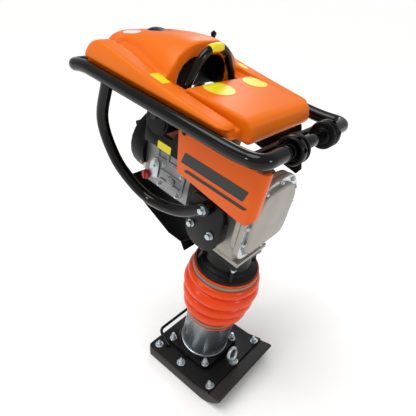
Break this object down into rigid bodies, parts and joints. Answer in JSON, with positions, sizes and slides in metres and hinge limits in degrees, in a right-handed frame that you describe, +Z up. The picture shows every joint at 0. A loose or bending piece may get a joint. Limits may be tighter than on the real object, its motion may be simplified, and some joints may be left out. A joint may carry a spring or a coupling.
{
  "type": "jumping jack rammer",
  "caption": "Upright tamping rammer with a petrol engine, sprung leg in an orange bellows, steel-faced shoe, tubular handle with transport rollers, orange tank and side panels.",
  "frame": {"origin": "centre of the flat sole across the shoe, below the leg, on the ground", "axes": "+X is the direction of travel, +Y the left side, +Z up; the leg and everything above it leans 9.3 degrees towards +X"},
  "size_m": [0.6393, 0.3916, 1.0224],
  "materials": {
    "orange_plastic": "satin, moulded",
    "orange_rubber": "glossy polyurethane",
    "black_enamel": "gloss, powder coated",
    "black_steel": "satin",
    "black_plastic": "fine texture",
    "dark_rubber": "matt",
    "cast_aluminium": "shot blasted",
    "engine_aluminium": "as cast",
    "galvanised": "satin",
    "zinc_plate": "bright",
    "gear_steel": "machined",
    "laminated_pad": "black stained laminate",
    "red_plastic": "gloss"
  },
  "bodies": {
    "foot": {"shoe_pad": "laminated_pad", "shoe_plate": "black_steel", "foot_flange": "black_steel", "flange_stud_1": "zinc_plate", "flange_stud_2": "zinc_plate", "flange_stud_3": "zinc_plate", "flange_stud_4": "zinc_plate", "eye_bolt": "zinc_plate", "carry_rod": "black_steel", "spring_cylinder": "galvanised", "cylinder_cap": "gear_steel", "lower_spring": "gear_steel", "upper_spring": "gear_steel", "bellows": "orange_rubber", "bellows_clamp_bottom": "galvanised"},
    "housing": {"guide_cylinder": "black_steel", "bellows_clamp_top": "galvanised", "crankcase": "cast_aluminium", "crankcase_cover": "cast_aluminium", "clutch_housing": "black_steel", "engine_block": "engine_aluminium", "engine_cylinder": "engine_aluminium", "fan_housing": "black_plastic", "engine_cowl": "black_plastic", "recoil_housing": "black_plastic", "air_cleaner": "black_plastic", "carburettor": "engine_aluminium", "muffler": "black_steel", "engine_guard": "black_steel", "spark_plug_lead": "black_plastic", "fuel_hose": "dark_rubber", "throttle_cable": "black_plastic", "rubber_mount_right": "dark_rubber", "rubber_mount_left": "dark_rubber"},
    "piston": {"piston_rod": "gear_steel", "spring_plate": "gear_steel"},
    "connecting_rod": {"con_rod": "gear_steel"},
    "crank": {"crank_gear": "gear_steel"},
    "pinion": {"pinion_shaft": "gear_steel", "clutch_drum": "gear_steel"},
    "engine_shaft": {"crankshaft": "gear_steel", "flywheel": "gear_steel"},
    "shoe_one": {"clutch_shoe_1": "black_steel"},
    "shoe_two": {"clutch_shoe_2": "black_steel"},
    "handle": {"handle_frame": "black_enamel", "roller_sleeve": "black_plastic", "mount_bracket_right": "black_steel", "mount_bracket_left": "black_steel", "fuel_tank": "orange_plastic", "lifting_hoop": "black_enamel", "side_panel_right": "orange_plastic", "side_panel_left": "black_steel", "throttle_bracket": "black_steel"},
    "right_roller": {"roller_right": "dark_rubber"},
    "left_roller": {"roller_left": "dark_rubber"},
    "cap": {"fuel_cap": "black_plastic"},
    "throttle": {"throttle_lever": "black_plastic"},
    "pull_grip": {"recoil_grip": "black_plastic"},
    "dipstick": {"oil_cap": "red_plastic"},
    "tap": {"fuel_tap": "red_plastic"}
  },
  "joints": [
    {"name": "leg_slide", "type": "slide", "parent": "foot", "child": "housing", "axis": [0.1616, 0, 0.9869], "range_m": [-0.035, 0.04], "stiffness_N_per_m": 40000, "springref_m": 0.01832, "deforming": ["bellows", "lower_spring", "upper_spring"]},
    {"name": "piston_slide", "type": "slide", "parent": "housing", "child": "piston", "axis": [0.1616, 0, 0.9869], "range_m": [-0.028, 0.028]},
    {"name": "conrod_swing", "type": "hinge", "parent": "piston", "child": "connecting_rod", "pos_m": [0.05378, 0, 0.48694], "axis": [0.9869, 0, -0.1616], "range_deg": [-12, 12]},
    {"name": "crank_spin", "type": "hinge", "parent": "housing", "child": "crank", "pos_m": [0.07447, 0, 0.61326], "axis": [0.9869, 0, -0.1616], "continuous": true},
    {"name": "pinion_spin", "type": "hinge", "parent": "housing", "child": "pinion", "pos_m": [0.08477, 0, 0.67617], "axis": [0.9869, 0, -0.1616], "continuous": true},
    {"name": "engine_spin", "type": "hinge", "parent": "housing", "child": "engine_shaft", "pos_m": [0.08477, 0, 0.67617], "axis": [0.9869, 0, -0.1616], "continuous": true},
    {"name": "shoe_one_slide", "type": "slide", "parent": "engine_shaft", "child": "shoe_one", "axis": [0.1616, 0, 0.9869], "range_m": [0, 0.0025], "stiffness_N_per_m": 4000, "springref_m": -0.0004},
    {"name": "shoe_two_slide", "type": "slide", "parent": "engine_shaft", "child": "shoe_two", "axis": [-0.1616, 0, -0.9869], "range_m": [0, 0.0025], "stiffness_N_per_m": 4000, "springref_m": -0.0004},
    {"name": "handle_rock", "type": "hinge", "parent": "housing", "child": "handle", "pos_m": [0.04685, 0, 0.6117], "axis": [0, 1, 0], "range_deg": [-1.5, 1.5], "stiffness_Nm_per_rad": 3000, "deforming": ["fuel_hose", "throttle_cable"]},
    {"name": "roller_right_spin", "type": "hinge", "parent": "handle", "child": "right_roller", "pos_m": [0.22059, -0.067, 0.85583], "axis": [0, 1, 0], "continuous": true},
    {"name": "roller_left_spin", "type": "hinge", "parent": "handle", "child": "left_roller", "pos_m": [0.22059, 0.067, 0.85583], "axis": [0, 1, 0], "continuous": true},
    {"name": "fuel_cap_turn", "type": "hinge", "parent": "handle", "child": "cap", "pos_m": [-0.23834, 0, 1.00496], "axis": [0.1616, 0, 0.9869], "range_deg": [0, 90]},
    {"name": "throttle_turn", "type": "hinge", "parent": "handle", "child": "throttle", "pos_m": [-0.22423, 0.184, 0.95502], "axis": [0, 1, 0], "range_deg": [0, 60]},
    {"name": "recoil_pull", "type": "slide", "parent": "housing", "child": "pull_grip", "axis": [-0.9869, 0, 0.1616], "range_m": [0, 0.35], "stiffness_N_per_m": 20, "springref_m": -0.1},
    {"name": "oil_cap_turn", "type": "hinge", "parent": "housing", "child": "dipstick", "pos_m": [-0.1979, -0.09, 0.65786], "axis": [0, -1, 0], "range_deg": [-90, 0]},
    {"name": "fuel_tap_turn", "type": "hinge", "parent": "handle", "child": "tap", "pos_m": [-0.03445, -0.07, 0.87632], "axis": [0.1616, 0, 0.9869], "range_deg": [0, 90]}
  ],
  "couplings": [
    {"joint": "piston_slide", "follows": "leg_slide", "ratio": -0.6},
    {"joint": "pinion_spin", "follows": "crank_spin", "ratio": -3.6364},
    {"joint": "shoe_two_slide", "follows": "shoe_one_slide", "ratio": 1}
  ]
}
